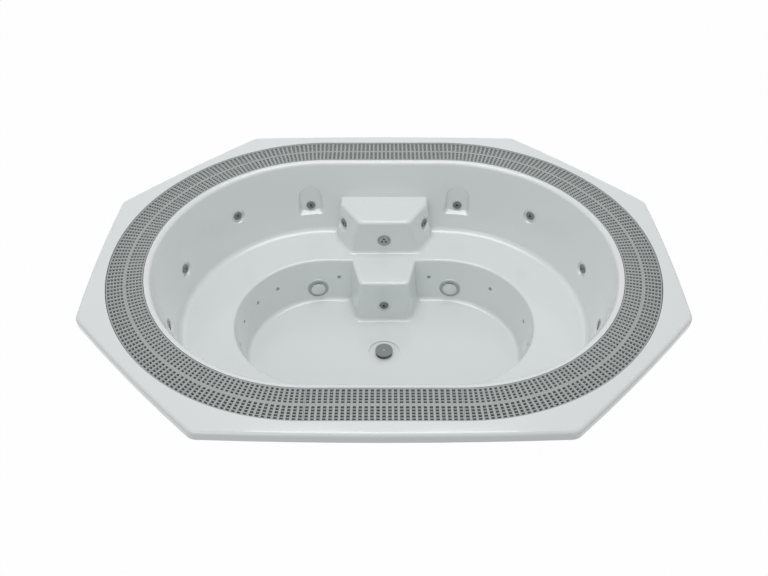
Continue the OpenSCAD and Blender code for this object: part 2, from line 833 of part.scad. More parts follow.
module jet_fronts() {
    color("gray")
        for (p = jets)
            at_place(p)
                difference() {
                    union() {
                        rod(jet_r, gasket_t, gasket_t + trim_t);
                        rod(jet_tube_r, -tube_back, gasket_t);
                    }
                    rod(jet_bore_r, -tube_back - 1, gasket_t + trim_t + 1);
                }
}

module jet_gaskets() {
    color("black")
        for (p = jets) at_place(p) pipe(jet_r - 1, jet_tube_r + slip_gap, 0, gasket_t);
}

// Body behind the shell: an air port and a water port on top, or one side port on the foot jet
module jet_tee(p, ported) {
    back = -p[4] - (ported ? port_gap : 0) - tee_end;
    at_place(p)
        difference() {
            union() {
                rod(tee_flange_r, -shell_t - tee_flange_t, -shell_t);
                rod(tee_r, -tube_back - 4, -shell_t);
                rod(tee_rear_r, back, -shell_t);
                if (ported) {
                    translate([0, 0, -p[4]]) rotate([0, -90, 0]) cylinder(r = port_air_r, h = port_air);
                    translate([0, 0, -p[4] - port_gap])
                        rotate([0, -90, 0])
                            cylinder(r = collar_r, h = port_water);
                } else
                    translate([0, 0, -p[4]]) rotate([-90, 0, 0]) cylinder(r = collar_r, h = port_air);
            }
            rod(jet_tube_r + slip_gap / 2, -tube_back - slip_gap, 1);
            rod(jet_bore_r - nozzle_wall, back + tee_wall, 0);
        }
}

module jet_tees() {
    color("lightgray") {
        for (p = ported_jets) jet_tee(p, true);
        jet_tee(foot_jet, false);
    }
}

// Place in the plan of a point that lies reach behind a jet's seat: its air port, then its water port
function behind(p, reach) = [p[0], p[1]] - reach * heading(p[3]);
function air_port(p) = behind(p, p[4]);
function water_port(p) = behind(p, p[4] + port_gap);

module branch(b) {
    upright(b[0], b[2] + socket_wall, b[1], socket_top_d(b));
}

module water_ring() {
    color("white") {
        oval_sweep() translate([water_ring_r, -water_d]) circle(water_r);
        for (p = wall_jets) upright(water_port(p), collar_r, water_d, water_collar_d);
        for (p = step_jets) upright([water_port(p)[0], water_ring_r], collar_r, water_d, water_collar_d);
        upright([foot_pipe_x, water_ring_r], collar_r, water_d, water_collar_d);
        branch(water_branch);
    }
}

// Pipe from a ring's collar down, level towards the middle of the tub, and down again to a port
module stepped_pipe(at, ring_y, r, collar_d, port_d) {
    upright([at[0], ring_y], r, collar_d, pipe_level);
    translate([at[0], ring_y, z_at(pipe_level)]) sphere(r);
    along_y(at[0], pipe_level, r, at[1], ring_y);
    translate([at[0], at[1], z_at(pipe_level)]) sphere(r);
    upright(at, r, pipe_level, port_d);
}

// Pipes from the water ring to the jets that lie lower than its collars
module water_drops() {
    foot_port = air_port(foot_jet);
    color("white") {
        for (p = wall_jets)
            if (p[2] == jet_d) upright(water_port(p), drop_r, water_collar_d, jet_d - port_water);
        for (p = step_jets)
            stepped_pipe(water_port(p), water_ring_r, drop_r, water_collar_d, p[2] - port_water);
        upright([foot_pipe_x, water_ring_r], drop_r, water_collar_d, foot_jet_d);
        translate([foot_pipe_x, water_ring_r, z_at(foot_jet_d)]) sphere(drop_r);
        along_y(foot_pipe_x, foot_jet_d, drop_r, foot_port[1], water_ring_r);
        translate([foot_pipe_x, foot_port[1], z_at(foot_jet_d)]) sphere(drop_r);
        translate([port_air, foot_port[1], z_at(foot_jet_d)])
            rotate([0, 90, 0])
                cylinder(r = drop_r, h = foot_pipe_x - port_air);
    }
}

module air_ring() {
    color("white") {
        oval_sweep() translate([air_ring_r, -airpipe_d]) circle(airpipe_r);
        for (p = wall_jets) upright(air_port(p), port_air_r, airpipe_d, air_collar_d);
        for (p = step_jets) upright([air_port(p)[0], air_ring_r], port_air_r, airpipe_d, air_collar_d);
        branch(air_branch);
    }
}

// Pipes from the massage air ring to the jets that lie lower than its collars
module air_drops() {
    color("white") {
        for (p = wall_jets)
            if (p[2] == jet_d) upright(air_port(p), air_drop_r, air_collar_d, jet_d - port_air);
        for (p = step_jets)
            stepped_pipe(air_port(p), air_ring_r, air_drop_r, air_collar_d, p[2] - port_air);
    }
}

// Sockets on the rings' branches, for the pipes from the pump and the blower
module ring_sockets() {
    color("white")
        for (b = [water_branch, air_branch, foot_branch])
            difference() {
                upright(b[0], b[2] + socket_wall, socket_top_d(b), b[1] + b[3]);
                upright(b[0], b[2], b[1] + b[3] - socket_l, b[1] + b[3] + 1);
            }
}

// Return inlet in the upper step's front
inlet_tube_r = 28;
inlet_bore_r = 24;
inlet_back = 60;
inlet_flange_t = 5;
inlet_face_t = 5;
inlet_spigot = 30;
lobe_at = 13;
lobe_r = 7;
inlet_pipe_end_y = 970;

module inlet_body() {
    color("lightgray")
        at_place(inlet)
            difference() {
                union() {
                    rod(inlet_r, 0, inlet_flange_t);
                    rod(inlet_tube_r, -inlet_back, 0);
                }
                rod(inlet_bore_r, -inlet_back - 1, inlet_flange_t + 1);
            }
}

module inlet_face() {
    front = inlet_flange_t + lift_gap;
    color("silver")
        at_place(inlet)
            difference() {
                union() {
                    rod(inlet_r - 6, front, inlet_flange_t + inlet_face_t);
                    rod(inlet_bore_r - run_gap, -inlet_spigot, front);
                }
                for (a = [0 : 120 : 240])
                    rotate(a)
                        translate([lobe_at, 0, 0])
                            rod(lobe_r, -inlet_spigot - 1, inlet_flange_t + inlet_face_t + 1);
            }
}

module inlet_nut() {
    color("lightgray")
        at_place(inlet) pipe(inlet_r - 2, inlet_tube_r + slip_gap / 2, -shell_t - nut_t, -shell_t);
}

module inlet_pipe() {
    color("white")
        translate([0, 0, z_at(inlet_d)])
            rotate([-90, 0, 0])
                difference() {
                    union() {
                        rod(inlet_pipe_r, step_front_y + inlet_back, inlet_pipe_end_y);
                        rod(inlet_pipe_r + socket_wall, inlet_pipe_end_y - socket_l - 5, inlet_pipe_end_y);
                    }
                    rod(inlet_pipe_r, inlet_pipe_end_y - socket_l, inlet_pipe_end_y + 1);
                }
}

module air_jets() {
    color("gray")
        for (p = air_places)
            at_place(p)
                difference() {
                    union() {
                        rod(air_r, 0, air_head_t);
                        rod(air_tube_r, -p[4], 0);
                    }
                    rod(air_hole_r, -p[4] + 4, air_head_t + 1);
                }
}

module air_jet_nuts() {
    color("lightgray")
        for (p = air_places)
            at_place(p) pipe(air_r, air_tube_r + slip_gap / 2, -shell_t - 1 - air_nut_t, -shell_t - 1);
}

module air_jet_ring() {
    color("white") {
        oval_sweep() translate([foot_ring_r, -air_d]) circle(airpipe_r);
        for (p = air_places) at_place(p) rod(air_port_r, -p[4] - air_port_l, -p[4]);
        branch(foot_branch);
    }
}

// Suction fittings: ring and socket, nut, and a domed cap that stands off on four legs
suction_flange_t = 6;
screw_slip = 0.2;
screw_hole_l = 12;
suction_back = 100;
leg_h = 9;
cap_t = 8;
dome_r = 130;
dome_h = 10;
screw_sink = 6.3;
leg_at = 40;

module suction_bodies() {
    color("gray")
        for (p = suctions)
            at_place(p)
                difference() {
                    union() {
                        rod(suction_r, 0, suction_flange_t);
                        rod(suction_tube_r, -suction_back, 0);
                    }
                    rod(suction_bore_r, -suction_back + socket_l + 10, suction_flange_t + 1);
                    rod(big_socket_r - 4, -suction_back + socket_l - 1, 0);
                    rod(big_socket_r, -suction_back - 1, -suction_back + socket_l);
                    for (a = [45, 225])
                        rotate(a)
                            translate([leg_at, 0, 0])
                                rod(screw_r + screw_slip, -screw_hole_l, suction_flange_t + 1);
                }
}

module suction_nuts() {
    color("lightgray")
        for (p = suctions)
            at_place(p)
                pipe(suction_r - 2, suction_tube_r + slip_gap / 2, -suction_pad - nut_t, -suction_pad);
}

module suction_covers() {
    base = suction_flange_t + leg_h;
    color("whitesmoke")
        for (p = suctions)
            at_place(p)
                difference() {
                    union() {
                        intersection() {
                            rod(cap_r, base, base + cap_t + dome_h);
                            translate([0, 0, base + cap_t - dome_r]) sphere(dome_r, $fn = 128);
                        }
                        for (a = [45 : 90 : 315])
                            rotate(a) translate([leg_at, 0, 0]) rod(leg_r, suction_flange_t, base + 0.5);
                    }
                    for (a = [45, 225])
                        rotate(a)
                            translate([leg_at, 0, 0])
                                rod(screw_r + screw_slip, 0, base + cap_t + dome_h);
                }
}

module suction_screws() {
    top = suction_flange_t + leg_h + cap_t - screw_sink;
    color("silver")
        for (p = suctions, a = [45, 225])
            at_place(p) rotate(a) translate([leg_at, 0, 0]) rod(screw_r, 2 - screw_hole_l, top);
}

module overflow_outlets() {
    color("gray")
        for (p = outlets)
            difference() {
                union() {
                    upright(p, outlet_flange_r, channel_d - 4, channel_d);
                    upright(p, outlet_tube_r, channel_d, outlet_end_d);
                }
                upright(p, big_socket_r, channel_d - 5, outlet_end_d + 1);
            }
}

module overflow_nuts() {
    low = channel_d + shell_t;
    color("lightgray")
        for (p = outlets)
            difference() {
                upright(p, outlet_flange_r, low, low + nut_t);
                upright(p, outlet_tube_r + slip_gap / 2, low - 1, low + nut_t + 1);
            }
}

// Floor drain: a flanged tube with a bridge for the screw and a socket that points down
drain_flange_t = 4;
drain_end_d = 862;
drain_leg_at = 38;
cover_t = 10;
bridge_t = 8;
bridge_w = 10;
drain_head_r = 5;
drain_head_t = 3;

module drain_body() {
    top = dish_d - drain_flange_t;
    color("gray")
        difference() {
            union() {
                upright([0, 0], drain_r - 3, top, dish_d);
                upright([0, 0], drain_tube_r, dish_d, drain_end_d);
            }
            difference() {
                upright([0, 0], drain_bore_r, top - 1, drain_end_d - 1);
                translate([-drain_tube_r, -bridge_w / 2, z_at(dish_d + bridge_t)])
                    cube([2 * drain_tube_r, bridge_w, bridge_t]);
            }
            upright([0, 0], screw_r + 2 * screw_slip, top, dish_d + bridge_t + 1);
            upright([0, 0], inlet_pipe_r, drain_end_d - socket_l, drain_end_d + 1);
        }
}

module drain_nut() {
    low = dish_d + shell_t;
    color("lightgray")
        difference() {
            upright([0, 0], drain_r - 3, low, low + nut_t);
            upright([0, 0], drain_tube_r + slip_gap / 2, low - 1, low + nut_t + 1);
        }
}

module drain_cover() {
    top = floor_d - drain_h;
    low = dish_d - drain_flange_t;
    color("gray")
        difference() {
            union() {
                upright([0, 0], drain_r, top, top + cover_t);
                for (a = [45 : 90 : 315]) upright(drain_leg_at * heading(a), leg_r, top + cover_t - 1, low);
            }
            upright([0, 0], screw_r + 2 * screw_slip, top - 1, low);
            upright([0, 0], drain_head_r + slip_gap, top - 1, top + drain_head_t + 1);
        }
}

module drain_screw() {
    top = floor_d - drain_h;
    color("silver") {
        upright([0, 0], drain_head_r, top + 1, top + drain_head_t + 1);
        upright([0, 0], screw_r + screw_slip / 2, top + drain_head_t + 1, dish_d + bridge_t - 1);
    }
}

// Square tube along X or Y, and its hollow when inset by the wall
module beam_x(y, x, inset = 0) {
    size = tube - 2 * inset;
    translate([-x - (inset > 0 ? 1 : 0), y - size / 2, base_bottom + inset])
        cube([2 * x + (inset > 0 ? 2 : 0), size, size]);
}

module beam_y(x, y, inset = 0) {
    size = tube - 2 * inset;
    translate([x - size / 2, -y - (inset > 0 ? 1 : 0), base_bottom + inset])
        cube([size, 2 * y + (inset > 0 ? 2 : 0), size]);
}

module base_beams(inset = 0) {
    for (m = [-1, 1]) beam_x(m * rail_y, cross_x2, inset);
    for (s = [-1, 1]) {
        beam_y(s * cross_x2, post_y2 + post / 2, inset);
        beam_y(s * cross_x1, post_y1 + post / 2, inset);
    }
}

module base_frame() {
    color("silver")
        difference() {
            base_beams();
            base_beams(tube_wall);
            for (p = feet)
                translate([p[0], p[1], base_bottom - 1])
                    cylinder(r = stud_r + screw_slip, h = tube_wall + 2);
        }
}

module posts() {
    h = z_at(seat_d + shell_t) - base_top;
    color("silver")
        for (p = post_places)
            translate([p[0], p[1], base_top])
                linear_extrude(h)
                    difference() {
                        square(post, center = true);
                        square(post - 2 * tube_wall, center = true);
                    }
}

module foot_pads() {
    color("black")
        for (p = feet) translate([p[0], p[1], 0]) cylinder(r = pad_r, h = pad_h);
}

module foot_studs() {
    color("silver")
        for (p = feet) translate([p[0], p[1], pad_h]) cylinder(r = stud_r, h = base_bottom + stud_up - pad_h);
}

module foot_nuts() {
    h = foot_nut_t;
    color("silver")
        for (p = feet)
            translate([p[0], p[1], base_bottom - h])
                linear_extrude(h)
                    difference() {
                        circle(foot_nut_r, $fn = 6);
                        circle(stud_r + screw_slip);
                    }
}

shell();
straight_section(-1);  // grating_front
straight_section(1);  // grating_back
for (side = ["left", "right"], i = [0 : end_sections - 1])
    curved_section(side, i);
for (i = [0 : len(jets) - 1])
    jet_face(jets[i]);
jet_fronts();
jet_gaskets();
jet_tees();
water_ring();
water_drops();
air_ring();
air_drops();
ring_sockets();
inlet_body();
inlet_face();
inlet_nut();
inlet_pipe();
air_jets();
air_jet_nuts();
air_jet_ring();
suction_bodies();
suction_nuts();
suction_covers();
suction_screws();
overflow_outlets();
overflow_nuts();
drain_body();
drain_nut();
drain_cover();
drain_screw();
base_frame();
posts();
foot_pads();
foot_studs();
foot_nuts();
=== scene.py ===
"""Studio picture of a built-in hot tub with an overflow grating.

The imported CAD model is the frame. The parts that show are dressed here: the moulded shell gets its gloss
and its laminate back, and the grating, jets, return inlet, suction fittings and drain are modelled in
detail at the places that the frame gives. Lengths are in metres, with +Z up and the steps towards +Y.
"""

import json
import logging
import math
from collections.abc import Callable, Iterator
from contextlib import contextmanager
from dataclasses import dataclass
from enum import Enum

import bpy
from mathutils import Matrix, Vector
from mathutils.bvhtree import BVHTree

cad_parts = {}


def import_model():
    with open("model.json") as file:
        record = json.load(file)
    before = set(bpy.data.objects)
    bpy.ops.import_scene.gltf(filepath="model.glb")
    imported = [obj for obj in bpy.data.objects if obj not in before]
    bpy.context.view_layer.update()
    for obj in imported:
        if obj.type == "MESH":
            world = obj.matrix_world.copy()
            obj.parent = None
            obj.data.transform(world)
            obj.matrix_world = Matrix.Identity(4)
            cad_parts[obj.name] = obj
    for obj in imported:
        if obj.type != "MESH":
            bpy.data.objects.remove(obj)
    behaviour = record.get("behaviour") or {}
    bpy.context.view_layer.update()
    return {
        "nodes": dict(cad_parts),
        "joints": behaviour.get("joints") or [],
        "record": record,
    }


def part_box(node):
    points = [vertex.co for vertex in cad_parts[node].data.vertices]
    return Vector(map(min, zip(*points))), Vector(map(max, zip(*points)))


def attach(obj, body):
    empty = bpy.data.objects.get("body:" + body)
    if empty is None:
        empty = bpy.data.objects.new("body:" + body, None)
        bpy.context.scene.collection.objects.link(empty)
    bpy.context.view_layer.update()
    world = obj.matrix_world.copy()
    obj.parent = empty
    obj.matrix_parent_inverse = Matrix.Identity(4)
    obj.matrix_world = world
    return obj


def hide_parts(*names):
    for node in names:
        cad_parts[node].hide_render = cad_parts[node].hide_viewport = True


log = logging.getLogger("hot_tub")

MM = 0.001
UP = Vector((0.0, 0.0, 1.0))
DOWN = Vector((0.0, 0.0, -1.0))

# Sides of a round blank
ROUND_SIDES = 64
# Sharpest angle, in degrees, that is shaded smooth and stays unrounded
SMOOTH_ANGLE = 40.0
# Faces across the rounding of a ring or flange
RING_SEGMENTS = 3
# Cosine above which a face counts as looking in a direction
SAME_WAY = 0.99
# Distance within which a face's middle counts as lying on its fitting's axis
ON_AXIS = 1.0 * MM
# How far a cutting tool stands clear of what it cuts
OVERSHOOT = 1.0 * MM
# Wall that closes a bore at its far end
END_WALL = 1.0 * MM
# Distance within which the CAD mesh's loose corners are merged
WELD = 0.002 * MM

Triple = tuple[float, float, float]
FaceTest = Callable[[Vector, Vector], bool]


class Slot(Enum):
    """Material slots of the record."""

    SHELL = "shell"
    GRATING = "grating"
    JET_FACE = "jet_face"
    JET_TRIM = "jet_trim"
    RUBBER = "rubber"
    PIPE = "pipe"
    FITTING = "fitting"
    INLET = "inlet"
    SUCTION_RING = "suction_ring"
    SUCTION_CAP = "suction_cap"
    DRAIN_COVER = "drain_cover"
    SCREW = "screw"
    FRAME = "frame"


# Finishes


@dataclass(frozen=True)
class Finish:
    """A moulded, drawn or cast surface: its colour, its gloss and the unevenness of both.

    Attributes:
        name: The material's name.
        colour: Its colour, linear.
        roughness: Its mean roughness.
        metallic: 1 for a metal.
        coat: Weight of the clear coat.
        mottle: Share by which clouds lighten and darken the colour.
        mottle_size: Size of the clouds.
        gloss_spread: How far the clouds change the roughness.
        grain: Strength of the fine relief.
        grain_size: Size of its grains.
        crystals: Share by which crystals lighten and darken the colour.
        crystal_size: Size of the crystals.
    """

    name: str
    colour: Triple
    roughness: float
    metallic: float = 0.0
    coat: float = 0.0
    mottle: float = 0.03
    mottle_size: float = 0.12
    gloss_spread: float = 0.04
    grain: float = 0.0
    grain_size: float = 0.004
    crystals: float = 0.0
    crystal_size: float = 0.02


GEL_COAT = Finish("white_acrylic", (0.738, 0.772, 0.772), 0.16, coat=0.5, mottle=0.012, mottle_size=0.5,
                  gloss_spread=0.05, grain=0.01, grain_size=0.02)
LAMINATE = Finish("glass_laminate", (0.62, 0.585, 0.48), 0.62, mottle=0.16, mottle_size=0.05,
                  gloss_spread=0.16, grain=0.5, grain_size=0.006)
GRATING_GREY = Finish("grating_plastic", (0.365, 0.393, 0.386), 0.42, mottle=0.06, mottle_size=0.03,
                      gloss_spread=0.08, grain=0.12, grain_size=0.0012)
JET_DARK = Finish("jet_plastic", (0.19, 0.205, 0.205), 0.28, mottle=0.08, mottle_size=0.02, coat=0.2)
TRIM_GREY = Finish("trim_plastic", (0.33, 0.355, 0.355), 0.24, mottle=0.04, mottle_size=0.02, coat=0.3)
INLET_GREY = Finish("inlet_plastic", (0.34, 0.37, 0.37), 0.26, mottle=0.03, mottle_size=0.02, coat=0.3)
RING_GREY = Finish("suction_plastic", (0.44, 0.475, 0.475), 0.28, mottle=0.04, mottle_size=0.03, coat=0.3)
CAP_WHITE = Finish("cap_plastic", (0.72, 0.755, 0.755), 0.24, mottle=0.02, mottle_size=0.04, coat=0.3)
DRAIN_GREY = Finish("drain_plastic", (0.23, 0.248, 0.24), 0.42, mottle=0.06, mottle_size=0.02,
                    grain=0.1, grain_size=0.0015)
FITTING_GREY = Finish("fitting_plastic", (0.18, 0.19, 0.195), 0.45, mottle=0.05, mottle_size=0.03,
                      grain=0.08, grain_size=0.002)
PIPE_WHITE = Finish("pressure_pipe", (0.72, 0.72, 0.69), 0.34, mottle=0.04, mottle_size=0.08,
                    grain=0.03, grain_size=0.01)
BLACK_RUBBER = Finish("black_rubber", (0.025, 0.025, 0.025), 0.7, mottle=0.2, mottle_size=0.01,
                      grain=0.2, grain_size=0.0015)
STAINLESS = Finish("stainless_steel", (0.55, 0.56, 0.56), 0.3, metallic=1.0, mottle=0.05,
                   mottle_size=0.006, grain=0.04, grain_size=0.001)
GALVANISED = Finish("galvanised_steel", (0.5, 0.52, 0.53), 0.42, metallic=1.0, mottle=0.08,
                    mottle_size=0.03, gloss_spread=0.14, crystals=0.28, crystal_size=0.018)

SLOT_FINISH: dict[Slot, Finish] = {
    Slot.SHELL: GEL_COAT,
    Slot.GRATING: GRATING_GREY,
    Slot.JET_FACE: JET_DARK,
    Slot.JET_TRIM: TRIM_GREY,
    Slot.RUBBER: BLACK_RUBBER,
    Slot.PIPE: PIPE_WHITE,
    Slot.FITTING: FITTING_GREY,
    Slot.INLET: INLET_GREY,
    Slot.SUCTION_RING: RING_GREY,
    Slot.SUCTION_CAP: CAP_WHITE,
    Slot.DRAIN_COVER: DRAIN_GREY,
    Slot.SCREW: STAINLESS,
    Slot.FRAME: GALVANISED,
}


class UnevenSurface:
    """Node group that varies a colour and a roughness and gives a height for the grain."""

    NAME = "uneven_surface"
    CLOUD_DETAIL = 4.0
    GRAIN_DETAIL = 3.0
    NOISE_MEAN = 0.5
    CRYSTAL_GLOSS = 0.5

    def __init__(self) -> None:
        """Builds the group."""
        self.tree = bpy.data.node_groups.new(self.NAME, "ShaderNodeTree")
        self._add_sockets()
        self._wire()

    def _add_sockets(self) -> None:
        """Adds the named inputs and outputs."""
        inputs = (("Colour", "NodeSocketColor"), ("Mottle", "NodeSocketFloat"),
                  ("Mottle Scale", "NodeSocketFloat"), ("Gloss", "NodeSocketFloat"),
                  ("Gloss Spread", "NodeSocketFloat"), ("Grain Scale", "NodeSocketFloat"),
                  ("Crystals", "NodeSocketFloat"), ("Crystal Scale", "NodeSocketFloat"))
        outputs = (("Colour", "NodeSocketColor"), ("Roughness", "NodeSocketFloat"),
                   ("Height", "NodeSocketFloat"))
        for name, kind in inputs:
            self.tree.interface.new_socket(name, in_out="INPUT", socket_type=kind)
        for name, kind in outputs:
            self.tree.interface.new_socket(name, in_out="OUTPUT", socket_type=kind)

    def _math(self, operation: str, *values: bpy.types.NodeSocket | float) -> bpy.types.NodeSocket:
        """Adds a Math node.

        Args:
            operation: The node's operation.
            values: Sockets or numbers for its inputs.

        Returns:
            The node's output.
        """
        node = self.tree.nodes.new("ShaderNodeMath")
        node.operation = operation
        for socket, value in zip(node.inputs, values):
            if isinstance(value, bpy.types.NodeSocket):
                self.tree.links.new(value, socket)
            else:
                socket.default_value = value
        return node.outputs[0]

    def _noise(self, place: bpy.types.NodeSocket, scale: bpy.types.NodeSocket,
               detail: float) -> bpy.types.NodeSocket:
        """Adds a noise.

        Args:
            place: Where it's read.
            scale: Its scale.
            detail: Its number of finer layers.

        Returns:
            The noise, from 0 to 1.
        """
        noise = self.tree.nodes.new("ShaderNodeTexNoise")
        noise.inputs["Detail"].default_value = detail
        self.tree.links.new(place, noise.inputs["Vector"])
        self.tree.links.new(scale, noise.inputs["Scale"])
        return noise.outputs["Fac"]

    def _wire(self) -> None:
        """Wires the noises to the outputs."""
        nodes, links = self.tree.nodes, self.tree.links
        given = nodes.new("NodeGroupInput").outputs
        result = nodes.new("NodeGroupOutput").inputs
        place = nodes.new("ShaderNodeTexCoord").outputs["Object"]

        clouds = self._noise(place, given["Mottle Scale"], self.CLOUD_DETAIL)
        cloud = self._math("SUBTRACT", clouds, self.NOISE_MEAN)

        crystals = nodes.new("ShaderNodeTexVoronoi")
        links.new(place, crystals.inputs["Vector"])
        links.new(given["Crystal Scale"], crystals.inputs["Scale"])
        split = nodes.new("ShaderNodeSeparateColor")
        links.new(crystals.outputs["Color"], split.inputs["Color"])
        cell = self._math("SUBTRACT", split.outputs[0], self.NOISE_MEAN)
        crystal = self._math("MULTIPLY", cell, given["Crystals"])

        shade = self._math("ADD", self._math("MULTIPLY", cloud, given["Mottle"]), crystal)
        level = self._math("ADD", shade, 1.0)
        tint = nodes.new("ShaderNodeVectorMath")
        tint.operation = "SCALE"
        links.new(given["Colour"], tint.inputs[0])
        links.new(level, tint.inputs["Scale"])
        links.new(tint.outputs[0], result["Colour"])

        spread = self._math("ADD", self._math("MULTIPLY", cloud, given["Gloss Spread"]),
                            self._math("MULTIPLY", crystal, self.CRYSTAL_GLOSS))
        links.new(self._math("ADD", given["Gloss"], spread), result["Roughness"])
        links.new(self._noise(place, given["Grain Scale"], self.GRAIN_DETAIL), result["Height"])


class FinishLibrary:
    """Makes each finish's material once."""

    COAT_ROUGHNESS = 0.08
    GRAIN_HEIGHT = 0.5 * MM

    def __init__(self) -> None:
        """Builds the shared node group."""
        self._surface = UnevenSurface().tree
        self._made: dict[str, bpy.types.Material] = {}

    def material(self, finish: Finish) -> bpy.types.Material:
        """Gives a finish's material.

        Args:
            finish: The finish.

        Returns:
            Its material, made on the first call.
        """
        if finish.name not in self._made:
            self._made[finish.name] = self._make(finish)
        return self._made[finish.name]

    def _make(self, finish: Finish) -> bpy.types.Material:
        """Builds the node material of a finish.

        Args:
            finish: The finish.

        Returns:
            The new material.
        """
        material = bpy.data.materials.new(finish.name)
        material.use_nodes = True
        material.diffuse_color = (*finish.colour, 1.0)
        nodes, links = material.node_tree.nodes, material.node_tree.links
        shader = nodes["Principled BSDF"]
        shader.inputs["Metallic"].default_value = finish.metallic
        shader.inputs["Coat Weight"].default_value = finish.coat
        shader.inputs["Coat Roughness"].default_value = self.COAT_ROUGHNESS
        surface = nodes.new("ShaderNodeGroup")
        surface.node_tree = self._surface
        given = {
            "Colour": (*finish.colour, 1.0),
            "Mottle": finish.mottle,
            "Mottle Scale": 1.0 / finish.mottle_size,
            "Gloss": finish.roughness,
            "Gloss Spread": finish.gloss_spread,
            "Grain Scale": 1.0 / finish.grain_size,
            "Crystals": finish.crystals,
            "Crystal Scale": 1.0 / finish.crystal_size,
        }
        for name, value in given.items():
            surface.inputs[name].default_value = value
        links.new(surface.outputs["Colour"], shader.inputs["Base Color"])
        links.new(surface.outputs["Roughness"], shader.inputs["Roughness"])
        if finish.grain > 0.0:
            bump = nodes.new("ShaderNodeBump")
            bump.inputs["Strength"].default_value = finish.grain
            bump.inputs["Distance"].default_value = self.GRAIN_HEIGHT
            links.new(surface.outputs["Height"], bump.inputs["Height"])
            links.new(bump.outputs["Normal"], shader.inputs["Normal"])
        return material


# Modelling


def deselect() -> None:
    bpy.ops.object.select_all(action="DESELECT")


def activate(piece: bpy.types.Object) -> None:
    """Makes a piece the only selected and active object."""
    deselect()
    piece.select_set(True)
    bpy.context.view_layer.objects.active = piece


@contextmanager
def editing(piece: bpy.types.Object, test: FaceTest) -> Iterator[None]:
    """Edits a piece with some of its faces selected.

    Args:
        piece: The piece.
        test: Says of a face's middle and normal whether it's selected.

    Yields:
        Nothing, while the piece is in edit mode.
    """
    activate(piece)
    bpy.ops.object.mode_set(mode="EDIT")
    bpy.ops.mesh.select_mode(type="FACE")
    bpy.ops.mesh.select_all(action="DESELECT")
    bpy.ops.object.mode_set(mode="OBJECT")
    for face in piece.data.polygons:
        face.select = test(face.center, face.normal)
    bpy.ops.object.mode_set(mode="EDIT")
    yield
    bpy.ops.object.mode_set(mode="OBJECT")


def everything(middle: Vector, normal: Vector) -> bool:
    """Selects every face."""
    return True


def facing(direction: Vector, reach: float = math.inf) -> FaceTest:
    """Makes a test for faces that look one way and lie near the Z axis.

    Args:
        direction: Where the faces look.
        reach: Furthest distance of a face's middle from the Z axis.

    Returns:
        The test.
    """

    def test(middle: Vector, normal: Vector) -> bool:
        """Compares a face's normal and middle."""
        return normal.dot(direction) > SAME_WAY and math.hypot(middle.x, middle.y) < reach

    return test


def disc(name: str, radius: float, low: float, high: float, sides: int = ROUND_SIDES) -> bpy.types.Object:
    """Adds a round blank along the Z axis.

    Args:
        name: Its name.
        radius: Its radius.
        low: Its lower end.
        high: Its upper end.
        sides: Number of sides.

    Returns:
        The new piece.
    """
    deselect()
    bpy.ops.mesh.primitive_cylinder_add(
        vertices=sides, radius=radius, depth=high - low, location=(0.0, 0.0, (low + high) / 2)
    )
    return named(name)


def block(name: str, low: Vector, high: Vector) -> bpy.types.Object:
    """Adds a square blank between two corners.

    Args:
        name: Its name.
        low: Its lowest corner.
        high: Its highest corner.

    Returns:
        The new piece.
    """
    deselect()
    bpy.ops.mesh.primitive_cube_add(size=1.0, location=(low + high) / 2, scale=high - low)
    return named(name)


def named(name: str) -> bpy.types.Object:
    """Names the new primitive and puts its place into its mesh."""
    piece = bpy.context.active_object
    piece.name = name
    piece.data.name = name
    bpy.ops.object.transform_apply(location=True, rotation=True, scale=True)
    return piece


def ring_of_tools(count: int, at: float, start: float, radius: float, levels: tuple[float, float],
                  sides: int) -> list[bpy.types.Object]:
    """Adds round cutting tools in a circle round the Z axis.

    Args:
        count: Number of tools.
        at: Radius of the circle.
        start: Angle of the first tool.
        radius: Radius of a tool.
        levels: Lower and upper end of a tool.
        sides: Number of its sides.

    Returns:
        The tools.
    """
    tools = []
    for index in range(count):
        tool = disc("tool", radius, *levels, sides)
        angle = start + index * 2 * math.pi / count
        tool.data.transform(Matrix.Translation((at * math.cos(angle), at * math.sin(angle), 0.0)))
        tools.append(tool)
    return tools


def step_in(piece: bpy.types.Object, test: FaceTest, inset: float, raise_by: float = 0.0) -> None:
    """Insets the chosen faces and pushes them along their normals.

    Args:
        piece: The piece.
        test: Chooses the faces.
        inset: Width of the border that is left.
        raise_by: How far the inner faces move out, or in if it's negative.
    """
    with editing(piece, test):
        bpy.ops.mesh.inset(thickness=inset)
        if raise_by:
            bpy.ops.mesh.extrude_region_shrink_fatten(
                TRANSFORM_OT_shrink_fatten={"value": raise_by, "use_even_offset": False}
            )


def shade_smooth(piece: bpy.types.Object, angle: float = SMOOTH_ANGLE) -> None:
    """Shades a piece smooth, apart from its sharp edges.

    Args:
        piece: The piece.
        angle: Sharpest angle, in degrees, that is shaded smooth.
    """
    activate(piece)
    bpy.ops.object.shade_smooth_by_angle(angle=math.radians(angle))


def round_edges(piece: bpy.types.Object, width: float, segments: int = 2) -> None:
    """Rounds a piece's sharp edges and shades it smooth.

    Args:
        piece: The piece.
        width: Width of the rounding.
        segments: Faces across it.
    """
    activate(piece)
    bevel = piece.modifiers.new("rounding", "BEVEL")
    bevel.width = width
    bevel.segments = segments
    bevel.limit_method = "ANGLE"
    bevel.angle_limit = math.radians(SMOOTH_ANGLE)
    bpy.ops.object.modifier_apply(modifier=bevel.name)
    shade_smooth(piece)


